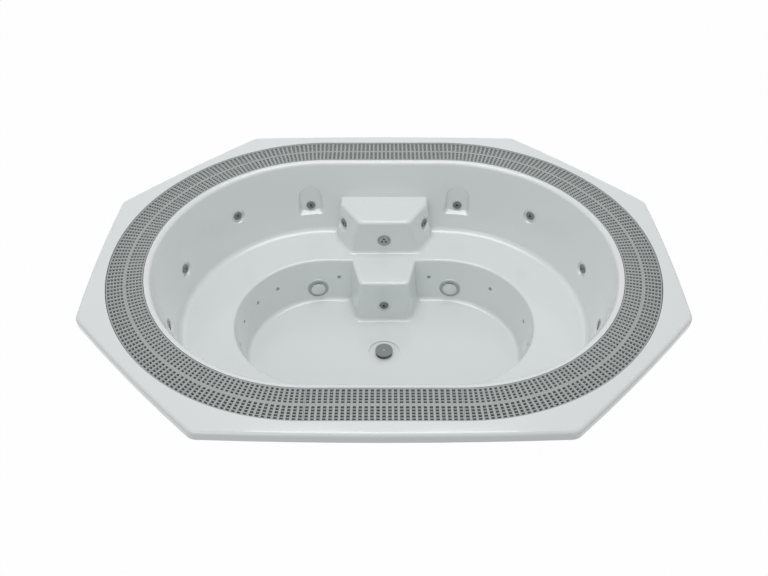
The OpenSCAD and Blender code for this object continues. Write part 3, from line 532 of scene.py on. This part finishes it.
def cut(piece: bpy.types.Object, tools: list[bpy.types.Object]) -> None:
    """Cuts tool pieces out of a piece and removes them."""
    for tool in tools:
        activate(piece)
        cutter = piece.modifiers.new("cutter", "BOOLEAN")
        cutter.operation = "DIFFERENCE"
        cutter.object = tool
        bpy.ops.object.modifier_apply(modifier=cutter.name)
        bpy.data.objects.remove(tool)


def join(pieces: list[bpy.types.Object], name: str) -> bpy.types.Object:
    """Joins pieces into one with a new name."""
    activate(pieces[0])
    for piece in pieces[1:]:
        piece.select_set(True)
    bpy.ops.object.join()
    pieces[0].name = name
    pieces[0].data.name = name
    return pieces[0]


def copied(piece: bpy.types.Object, name: str, matrix: Matrix) -> bpy.types.Object:
    """Copies a piece to another place, with its own mesh.

    Args:
        piece: The piece.
        name: The copy's name.
        matrix: The move from the piece's place to the copy's.

    Returns:
        The copy.
    """
    twin = bpy.data.objects.new(name, piece.data.copy())
    twin.data.name = name
    twin.data.transform(matrix)
    bpy.context.scene.collection.objects.link(twin)
    return twin


def merged_copy(node: bpy.types.Object, name: str) -> bpy.types.Object:
    """Copies a CAD node's mesh and merges its loose triangles.

    Args:
        node: The CAD node.
        name: The copy's name.

    Returns:
        The copy.
    """
    twin = copied(node, name, Matrix.Identity(4))
    with editing(twin, everything):
        bpy.ops.mesh.remove_doubles(threshold=WELD)
        bpy.ops.mesh.customdata_custom_splitnormals_clear()
    return twin


def weigh_normals(piece: bpy.types.Object) -> None:
    """Lets the large faces lead the shading, so that flats stay flat beside a rounding."""
    activate(piece)
    weighting = piece.modifiers.new("weighting", "WEIGHTED_NORMAL")
    weighting.keep_sharp = True
    bpy.ops.object.modifier_apply(modifier=weighting.name)


def seat_matrix(seat: Vector, axis: Vector) -> Matrix:
    """Gives the place of a fitting on the moulded shell.

    Args:
        seat: Middle of its seat.
        axis: Where its own +Z points, which is into the basin.

    Returns:
        The matrix from its own axes, with +X pointing down.
    """
    across = axis.cross(DOWN).normalized()
    own_x = across.cross(axis).normalized()
    turn = Matrix((own_x, axis.cross(own_x), axis)).transposed()
    return Matrix.Translation(seat) @ turn.to_4x4()


@dataclass
class Workshop:
    """The frame and the finishes that every sub-assembly works with."""

    nodes: dict[str, bpy.types.Object]
    joints: list[dict]
    record: dict
    finishes: FinishLibrary

    def fit(self, piece: bpy.types.Object, body: str, slot: Slot, *nodes: str) -> None:
        """Dresses a piece, and puts it on its body in the place of its CAD nodes.

        Args:
            piece: The finished piece.
            body: The body that it rides on.
            slot: Its material slot.
            nodes: CAD nodes that it stands for.
        """
        if not piece.data.materials:
            piece.data.materials.append(self.finishes.material(SLOT_FINISH[slot]))
        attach(piece, body)
        if nodes:
            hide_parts(*nodes)
        log.info("%s rides on %s, %d faces", piece.name, body, len(piece.data.polygons))

    def joint_of(self, body: str) -> dict:
        """Gives the joint that moves a body."""
        return next(joint for joint in self.joints if joint["child"] == body)


# Sub-assemblies


@dataclass
class MouldedShell:
    """The one-piece moulding: gloss on the side that shows, laminate on the side that doesn't.

    Attributes:
        crease: Sharpest angle, in degrees, that is shaded smooth.
        look_out: How far above a face the look for the sky starts.
        sky: Height of the sky.
    """

    crease: float = 34.0
    look_out: float = 1.0 * MM
    sky: float = 3.0

    def build(self, shop: Workshop) -> None:
        """Makes the shell's piece.

        Args:
            shop: The workshop.
        """
        piece = merged_copy(shop.nodes["shell"], "moulded_shell")
        shade_smooth(piece, self.crease)
        weigh_normals(piece)
        piece.data.materials.clear()
        piece.data.materials.append(shop.finishes.material(GEL_COAT))
        piece.data.materials.append(shop.finishes.material(LAMINATE))
        self._lay_laminate(piece)
        shop.fit(piece, "tub", Slot.SHELL, "shell")

    def _lay_laminate(self, piece: bpy.types.Object) -> None:
        """Gives the laminate to each face that sees no sky but looks out below or sideways.

        Args:
            piece: The shell.
        """
        tree = BVHTree.FromObject(piece, bpy.context.evaluated_depsgraph_get())
        for face in piece.data.polygons:
            start = face.center + face.normal * self.look_out
            middle = Vector((start.x / 2, start.y / 2, self.sky))
            outward = Vector((start.x, start.y, 0.0)).normalized()
            covered = all(tree.ray_cast(start, look)[0] for look in (UP, (middle - start).normalized()))
            enclosed = all(tree.ray_cast(start, look)[0] for look in (DOWN, outward))
            face.material_index = 1 if covered and not enclosed else 0


@dataclass
class OverflowGrating:
    """Grating of the overflow channel, in sections that lift out.

    Attributes:
        inner: Radius of its inner edge, or distance from the long axis where it's straight.
        width: Its width.
        top: Level of its top.
        length: Length of a straight section.
        thickness: Height of a bar.
        pitch: Distance from bar to bar.
        bar: Width of a bar.
        edge: Width of the two outermost strips.
        spine: Width of the strip in the middle.
        divider: Width of the thin strips between the cells.
        cells: Cells between an edge and the spine.
        divider_drop: How far a divider lies below the bars.
        spine_drop: How far the spine lies below the bars.
        rounding: Rounding of a bar's upper edges.
        rounding_steps: Faces across the rounding.
        seam: Half the gap between two sections.
        arc_steps: Faces along a curved strip.
    """

    inner: float
    width: float
    top: float
    length: float
    thickness: float = 0.022
    pitch: float = 0.025
    bar: float = 0.0115
    edge: float = 0.006
    spine: float = 0.017
    divider: float = 0.005
    cells: int = 5
    divider_drop: float = 0.0024
    spine_drop: float = 0.0008
    rounding: float = 0.0016
    rounding_steps: int = 2
    seam: float = 0.00025
    arc_steps: int = 12

    @classmethod
    def from_frame(cls) -> "OverflowGrating":
        """Takes the grating's measures from the straight front section."""
        low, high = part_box("grating_front")
        return cls(-high.y, high.y - low.y, high.z, high.x - low.x)

    def build(self, shop: Workshop) -> None:
        """Makes every section.

        Args:
            shop: The workshop.
        """
        length = self.length + 2 * self.seam
        centre = Vector((length / 2, 0.0, 0.0))
        sections = sum(1 for name in shop.nodes if name.startswith("grating_right_"))
        straight = self._straight(length)
        for name, turn in (("grating_back", 0.0), ("grating_front", math.pi)):
            self._place(shop, straight, name, Matrix.Rotation(turn, 4, "Z"))
        span = math.pi / sections
        curved = self._curved(span)
        for index in range(sections):
            start = -math.pi / 2 + index * span
            right = Matrix.Translation(centre) @ Matrix.Rotation(start, 4, "Z")
            left = Matrix.Translation(-centre) @ Matrix.Rotation(math.pi - start - span, 4, "Z")
            self._place(shop, curved, f"grating_right_{index + 1}", right)
            self._place(shop, curved, f"grating_left_{index + 1}", left)
        bpy.data.objects.remove(straight)
        bpy.data.objects.remove(curved)

    def _place(self, shop: Workshop, section: bpy.types.Object, node: str, matrix: Matrix) -> None:
        """Copies a section to its place and fits it.

        Args:
            shop: The workshop.
            section: The section at its own start.
            node: The CAD node that it stands for, which is also its body.
            matrix: Its place.
        """
        piece = copied(section, node.replace("grating", "overflow_grating"), matrix)
        shop.fit(piece, node, Slot.GRATING, node)

    def _strips(self) -> list[tuple[float, float, float]]:
        """Lists the strips that run along the section.

        Returns:
            Each strip's inner edge, its width and how far its top lies below the bars.
        """
        side = (self.width - 2 * self.edge - self.spine) / 2
        cell = (side - (self.cells - 1) * self.divider) / self.cells
        outer = self.inner + self.width
        strips = [
            (self.inner, self.edge, 0.0),
            (outer - self.edge, self.edge, 0.0),
            (self.inner + self.edge + side, self.spine, self.spine_drop),
        ]
        for start in (self.inner + self.edge, self.inner + self.edge + side + self.spine):
            for index in range(1, self.cells):
                strips.append((start + index * (cell + self.divider) - self.divider, self.divider,
                               self.divider_drop))
        return strips

    def _levels(self, drop: float) -> tuple[float, float]:
        """Gives the lower and upper level of a strip whose top lies below the bars by drop."""
        return self.top - self.thickness + drop / 2, self.top - drop

    def _bar(self, width: float, shift: float) -> bpy.types.Object:
        """Makes a cross bar along +Y from the inner strip to the outer one.

        Args:
            width: Its width.
            shift: Its middle along X.

        Returns:
            The bar.
        """
        low = Vector((shift - width / 2, self.inner + self.edge, self.top - self.thickness))
        high = Vector((shift + width / 2, self.inner + self.width - self.edge, self.top))
        bar = block("bar", low, high)
        with editing(bar, facing(UP)):
            bpy.ops.mesh.bevel(offset=self.rounding, segments=self.rounding_steps, affect="EDGES")
        return bar

    def _straight(self, length: float) -> bpy.types.Object:
        """Makes a straight section, centred on the Y axis.

        Args:
            length: Length of the section with its seams.

        Returns:
            The section.
        """
        half = length / 2 - self.seam
        pieces = []
        for start, width, drop in self._strips():
            low, high = self._levels(drop)
            far = Vector((half, start + width, high))
            pieces.append(block("strip", Vector((-half, start, low)), far))
        count = round(length / self.pitch)
        bar = self._bar(self.bar, 0.0)
        for index in range(1, count):
            shift = Vector((-length / 2 + index * length / count, 0.0, 0.0))
            pieces.append(copied(bar, "bar", Matrix.Translation(shift)))
        bpy.data.objects.remove(bar)
        last = self.bar / 2 - self.seam
        pieces.append(self._bar(last, -half + last / 2))
        pieces.append(self._bar(last, half - last / 2))
        section = join(pieces, "straight_section")
        shade_smooth(section)
        return section

    def _curved(self, span: float) -> bpy.types.Object:
        """Makes a curved section round the Z axis, from the X axis on.

        Args:
            span: Angle of the section with its seams.

        Returns:
            The section.
        """
        middle = self.inner + self.width / 2
        seam = self.seam / middle
        pieces = [self._arc(start, width, self._levels(drop), seam, span - 2 * seam)
                  for start, width, drop in self._strips()]
        count = round(middle * span / self.pitch)
        bar = self._bar(self.bar, 0.0)
        for index in range(1, count):
            turn = Matrix.Rotation(index * span / count - math.pi / 2, 4, "Z")
            pieces.append(copied(bar, "bar", turn))
        bpy.data.objects.remove(bar)
        last = self.bar / 2 - self.seam
        for shift, angle in ((-last / 2 - self.seam, 0.0), (last / 2 + self.seam, span)):
            end_bar = self._bar(last, shift)
            end_bar.data.transform(Matrix.Rotation(angle - math.pi / 2, 4, "Z"))
            pieces.append(end_bar)
        section = join(pieces, "curved_section")
        shade_smooth(section)
        return section

    def _arc(self, start: float, width: float, levels: tuple[float, float], seam: float,
             sweep: float) -> bpy.types.Object:
        """Spins a strip's square section round the Z axis.

        Args:
            start: Inner radius.
            width: Width of the strip.
            levels: Its lower and upper level.
            seam: Angle at which it starts.
            sweep: Angle that it covers.

        Returns:
            The strip.
        """
        low, high = levels
        deselect()
        bpy.ops.mesh.primitive_plane_add(size=1.0, rotation=(math.pi / 2, 0.0, 0.0))
        strip = bpy.context.active_object
        strip.scale = (width, high - low, 1.0)
        strip.location = (start + width / 2, 0.0, (low + high) / 2)
        bpy.ops.object.transform_apply(location=True, rotation=True, scale=True)
        strip.data.transform(Matrix.Rotation(seam, 4, "Z"))
        with editing(strip, everything):
            bpy.ops.mesh.spin(steps=self.arc_steps, angle=sweep, center=(0.0, 0.0, 0.0), axis=UP)
            bpy.ops.mesh.select_all(action="SELECT")
            bpy.ops.mesh.normals_make_consistent(inside=False)
        if sum(face.center.y for face in strip.data.polygons) < 0.0:
            strip.data.transform(Matrix.Scale(-1.0, 4, (0.0, 1.0, 0.0)))
            strip.data.flip_normals()
        return strip


@dataclass
class MassageJet:
    """A jet's trim ring and its face, which turns to regulate the jet.

    All levels are heights above the jet's seat on the shell, and all backs are depths behind it.

    Attributes:
        trim_radius: Radius of the trim ring.
        trim_low: Level of the ring's back.
        trim_high: Level of the ring's front.
        trim_rounding: Rounding of the ring.
        tube_radius: Radius of the tube behind the ring.
        tube_back: Depth of the tube.
        bore: Radius of the tube's bore.
        face_radius: Radius of the turning face.
        face_low: Level of the face's back.
        face_high: Level of the face's front.
        face_rounding: Rounding of the face.
        spigot: Radius of the spigot that turns in the bore.
        spigot_back: Depth of the spigot.
        border: Width of the rim round the dish.
        dish: Depth of the dish.
        collar: Radius of the collar round the nozzle.
        nozzle: Radius of the nozzle.
        nozzle_rise: How far the collar rises from the dish.
        notches: Grip notches round the face.
        notch_radius: Radius of a notch.
        notch_out: How far outside the face's edge a notch has its centre.
        notch_floor: Thickness of the face that is left behind a notch.
        notch_sides: Sides of the tool that cuts it.
    """

    trim_radius: float = 0.0285
    trim_low: float = 0.0012
    trim_high: float = 0.0047
    trim_rounding: float = 0.0009
    tube_radius: float = 0.023
    tube_back: float = 0.026
    bore: float = 0.019
    face_radius: float = 0.0245
    face_low: float = 0.005
    face_high: float = 0.009
    face_rounding: float = 0.0005
    spigot: float = 0.01894
    spigot_back: float = 0.022
    border: float = 0.0055
    dish: float = 0.0022
    collar: float = 0.0105
    nozzle: float = 0.008
    nozzle_rise: float = 0.0016
    notches: int = 6
    notch_radius: float = 0.0036
    notch_out: float = 0.0012
    notch_floor: float = 0.001
    notch_sides: int = 20

    def build(self, shop: Workshop) -> None:
        """Makes the trim and the face of every jet.

        Args:
            shop: The workshop.
        """
        bodies = sorted(name for name in shop.nodes if name.startswith("jet_face_"))
        face, trim = self._face(), self._trim()
        trims = []
        for body in bodies:
            joint = shop.joint_of(body)
            place = seat_matrix(Vector(joint["pos_m"]), Vector(joint["axis"]))
            piece = copied(face, body.replace("jet_face", "jet_rose"), place)
            shop.fit(piece, body, Slot.JET_FACE, body)
            trims.append(copied(trim, "trim", place))
        bpy.data.objects.remove(face)
        bpy.data.objects.remove(trim)
        shop.fit(join(trims, "jet_trims"), "tub", Slot.JET_TRIM, "jet_fronts")

    def _face(self) -> bpy.types.Object:
        """Models the turning face: a notched disc, a dish and the nozzle's collar."""
        face = disc("face", self.face_radius, self.face_low, self.face_high)
        levels = (self.face_low + self.notch_floor, self.face_high + OVERSHOOT)
        tools = ring_of_tools(self.notches, self.face_radius + self.notch_out, 0.0, self.notch_radius,
                              levels, self.notch_sides)
        dished = self.face_radius - self.border
        step_in(face, facing(UP), self.border, -self.dish)
        step_in(face, facing(UP, ON_AXIS), dished - self.collar, self.nozzle_rise)
        depth = self.face_high - self.dish + self.nozzle_rise + self.spigot_back
        step_in(face, facing(UP, ON_AXIS), self.collar - self.nozzle, -(depth - END_WALL))
        step_in(face, facing(DOWN), self.face_radius - self.spigot, self.face_low + self.spigot_back)
        cut(face, tools)
        round_edges(face, self.face_rounding)
        return face

    def _trim(self) -> bpy.types.Object:
        """Models the fixed ring round the face, with its tube."""
        trim = disc("trim_ring", self.trim_radius, self.trim_low, self.trim_high)
        depth = self.trim_high + self.tube_back - END_WALL
        step_in(trim, facing(UP), self.trim_radius - self.bore, -depth)
        step_in(trim, facing(DOWN, ON_AXIS), self.trim_radius - self.tube_radius,
                self.trim_low + self.tube_back)
        round_edges(trim, self.trim_rounding, RING_SEGMENTS)
        return trim


@dataclass
class ReturnInlet:
    """Return inlet in the upper step: a flange and a face with openings round a hub.

    All levels are heights above the inlet's seat on the shell, and all backs are depths behind it.

    Attributes:
        radius: Radius of the flange.
        flange: Thickness of the flange.
        flange_rounding: Rounding of the flange.
        tube: Radius of the tube behind the flange.
        bore: Radius of the tube's bore.
        back: Depth of the tube.
        face_radius: Radius of the turning face.
        face_low: Level of the face's back.
        face_high: Level of the face's front.
        face_rounding: Rounding of the face.
        spigot: Radius of the spigot that turns in the bore.
        spigot_back: Depth of the spigot.
        lobes: Number of the openings.
        lobe: Radius of an opening.
        lobe_at: Distance of its middle from the axis.
        lobe_sides: Sides of the tool that cuts it.
        dish_border: Width of the rim round the dish.
        dish: Depth of the dish.
    """

    radius: float = 0.040
    flange: float = 0.005
    flange_rounding: float = 0.0012
    tube: float = 0.028
    bore: float = 0.024
    back: float = 0.060
    face_radius: float = 0.034
    face_low: float = 0.0053
    face_high: float = 0.010
    face_rounding: float = 0.0007
    spigot: float = 0.02394
    spigot_back: float = 0.030
    lobes: int = 3
    lobe: float = 0.0072
    lobe_at: float = 0.0135
    lobe_sides: int = 32
    dish_border: float = 0.0065
    dish: float = 0.0018

    def build(self, shop: Workshop) -> None:
        """Makes the flange and the face.

        Args:
            shop: The workshop.
        """
        joint = shop.joint_of("inlet_face")
        place = seat_matrix(Vector(joint["pos_m"]), Vector(joint["axis"]))
        body = disc("inlet_flange", self.radius, 0.0, self.flange)
        step_in(body, facing(UP), self.radius - self.bore, -(self.flange + self.back - END_WALL))
        step_in(body, facing(DOWN, ON_AXIS), self.radius - self.tube, self.back)
        round_edges(body, self.flange_rounding, RING_SEGMENTS)
        body.data.transform(place)
        shop.fit(body, "tub", Slot.INLET, "inlet_body")
        face = self._face()
        face.data.transform(place)
        shop.fit(face, "inlet_face", Slot.INLET, "inlet_face")

    def _face(self) -> bpy.types.Object:
        """Models the turning face: a dished disc with openings round a hub."""
        face = disc("inlet_rose", self.face_radius, self.face_low, self.face_high)
        step_in(face, facing(UP), self.dish_border, -self.dish)
        step_in(face, facing(DOWN), self.face_radius - self.spigot, self.face_low + self.spigot_back)
        levels = (-self.spigot_back - OVERSHOOT, self.face_high + OVERSHOOT)
        cut(face, ring_of_tools(self.lobes, self.lobe_at, math.pi, self.lobe, levels, self.lobe_sides))
        round_edges(face, self.face_rounding)
        return face


@dataclass
class SoftenedCopy:
    """A CAD fitting that keeps its shape and gets rounded edges.

    Attributes:
        node: The CAD node.
        name: The piece's name.
        slot: Its material slot.
        width: Width of the rounding.
        flat: Angle, in degrees, below which neighbouring faces become one.
    """

    node: str
    name: str
    slot: Slot
    width: float = 0.5 * MM
    flat: float = 0.5

    def build(self, shop: Workshop) -> None:
        """Makes the piece.

        Args:
            shop: The workshop.
        """
        piece = merged_copy(shop.nodes[self.node], self.name)
        with editing(piece, everything):
            bpy.ops.mesh.dissolve_limited(angle_limit=math.radians(self.flat))
        round_edges(piece, self.width)
        weigh_normals(piece)
        piece.data.materials.clear()
        shop.fit(piece, "tub", self.slot, self.node)


SOFTENED = (
    SoftenedCopy("suction_bodies", "suction_rings", Slot.SUCTION_RING, 1.0 * MM),
    SoftenedCopy("suction_covers", "suction_caps", Slot.SUCTION_CAP, 0.9 * MM),
    SoftenedCopy("drain_cover", "drain_lid", Slot.DRAIN_COVER, 1.2 * MM),
    SoftenedCopy("air_jets", "air_jet_heads", Slot.JET_TRIM, 0.5 * MM),
)


class CarriedNodes:
    """The CAD nodes that keep their own shape, such as pipes, nuts and the frame."""

    def build(self, shop: Workshop) -> None:
        """Gives each shown CAD node its material.

        Args:
            shop: The workshop.
        """
        slots = {part["node"]: Slot(part["material_slot"]) for part in shop.record["subparts"]}
        for name, node in shop.nodes.items():
            if node.hide_render:
                continue
            node.data.materials.clear()
            node.data.materials.append(shop.finishes.material(SLOT_FINISH[slots[name]]))
            log.info("%s keeps its CAD shape", name)


# Studio


@dataclass(frozen=True)
class Lamp:
    """A soft square lamp.

    Attributes:
        name: Its name.
        place: Where it hangs.
        target: What it's aimed at.
        size: Length of its sides.
        power: Its power in watts.
    """

    name: str
    place: Triple
    target: Triple
    size: float
    power: float


LAMPS = (
    Lamp("ceiling_panel", (0.0, 0.4, 5.2), (0.0, 0.0, 0.5), size=2.8, power=90.0),
    Lamp("front_panel", (-3.8, -6.0, 5.6), (0.0, 0.0, 0.6), size=4.5, power=72.0),
)


@dataclass
class Studio:
    """Camera, lamps, pale floor and white surroundings.

    Attributes:
        eye: Where the camera stands.
        tilt: Its angle from straight down, in degrees.
        lens: Its focal length in millimetres.
        sensor: Width of its sensor in millimetres.
        floor_size: Length of the floor's sides.
        floor_white: Brightness of the floor's paint.
        floor_glow: Share of the glow in what the camera sees of the floor.
        surround: Strength of the surroundings as a light.
    """

    eye: Triple = (0.0, -3.077, 3.510)
    tilt: float = 47.19
    lens: float = 36.06
    sensor: float = 36.0
    floor_size: float = 60.0
    floor_white: float = 0.66
    floor_glow: float = 0.985
    surround: float = 0.46

    def build(self) -> None:
        """Sets the studio up."""
        self._camera()
        for lamp in LAMPS:
            self._hang(lamp)
        self._floor()
        self._surroundings()
        bpy.context.scene.view_settings.view_transform = "Standard"

    def _camera(self) -> None:
        """Adds the camera at the photograph's angle."""
        data = bpy.data.cameras.new("camera")
        data.sensor_width = self.sensor
        data.lens = self.lens
        camera = bpy.data.objects.new("camera", data)
        camera.location = self.eye
        camera.rotation_euler = (math.radians(self.tilt), 0.0, 0.0)
        bpy.context.scene.collection.objects.link(camera)
        bpy.context.scene.camera = camera

    def _hang(self, lamp: Lamp) -> None:
        """Adds a lamp to the scene."""
        data = bpy.data.lights.new(lamp.name, "AREA")
        data.size = lamp.size
        data.energy = lamp.power
        light = bpy.data.objects.new(lamp.name, data)
        light.location = lamp.place
        aim = Vector(lamp.target) - Vector(lamp.place)
        light.rotation_euler = aim.to_track_quat("-Z", "Y").to_euler()
        bpy.context.scene.collection.objects.link(light)

    def _white_to_rays(self, nodes: bpy.types.Nodes, links: bpy.types.NodeLinks) -> bpy.types.NodeSocket:
        """Adds a mask of the rays that see the surroundings: camera, glossy and transmission.

        Args:
            nodes: Nodes of the material or world.
            links: Links of it.

        Returns:
            The mask, from 0 to 1.
        """
        path = nodes.new("ShaderNodeLightPath")
        mask = path.outputs["Is Camera Ray"]
        for name in ("Is Glossy Ray", "Is Transmission Ray"):
            either = nodes.new("ShaderNodeMath")
            either.operation = "MAXIMUM"
            links.new(mask, either.inputs[0])
            links.new(path.outputs[name], either.inputs[1])
            mask = either.outputs[0]
        return mask

    def _floor(self) -> None:
        """Adds the pale floor, which stays white to the camera and keeps a faint shadow."""
        deselect()
        bpy.ops.mesh.primitive_plane_add(size=self.floor_size)
        floor = named("floor")
        material = bpy.data.materials.new("pale_floor")
        material.use_nodes = True
        nodes, links = material.node_tree.nodes, material.node_tree.links
        nodes.remove(nodes["Principled BSDF"])
        diffuse = nodes.new("ShaderNodeBsdfDiffuse")
        diffuse.inputs["Color"].default_value = (self.floor_white,) * 3 + (1.0,)
        glow = nodes.new("ShaderNodeEmission")
        share = nodes.new("ShaderNodeMath")
        share.operation = "MULTIPLY"
        share.inputs[1].default_value = self.floor_glow
        links.new(self._white_to_rays(nodes, links), share.inputs[0])
        mix = nodes.new("ShaderNodeMixShader")
        links.new(share.outputs[0], mix.inputs["Fac"])
        links.new(diffuse.outputs[0], mix.inputs[1])
        links.new(glow.outputs[0], mix.inputs[2])
        links.new(mix.outputs[0], nodes["Material Output"].inputs["Surface"])
        floor.data.materials.append(material)

    def _surroundings(self) -> None:
        """Makes the world white to the camera and softer as a light."""
        world = bpy.data.worlds.new("surroundings")
        world.use_nodes = True
        nodes, links = world.node_tree.nodes, world.node_tree.links
        background = nodes["Background"]
        background.inputs["Color"].default_value = (1.0, 1.0, 1.0, 1.0)
        strength = nodes.new("ShaderNodeMapRange")
        strength.inputs["To Min"].default_value = self.surround
        strength.inputs["To Max"].default_value = 1.0
        links.new(self._white_to_rays(nodes, links), strength.inputs["Value"])
        links.new(strength.outputs["Result"], background.inputs["Strength"])
        bpy.context.scene.world = world


def main() -> None:
    """Builds the scene."""
    logging.basicConfig(level=logging.INFO, format="%(name)s: %(message)s")
    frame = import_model()
    shop = Workshop(frame["nodes"], frame["joints"], frame["record"], FinishLibrary())
    assemblies = (
        MouldedShell(),
        OverflowGrating.from_frame(),
        MassageJet(),
        ReturnInlet(),
        *SOFTENED,
        CarriedNodes(),
    )
    for assembly in assemblies:
        assembly.build(shop)
    Studio().build()


if __name__ == "__main__":
    main()
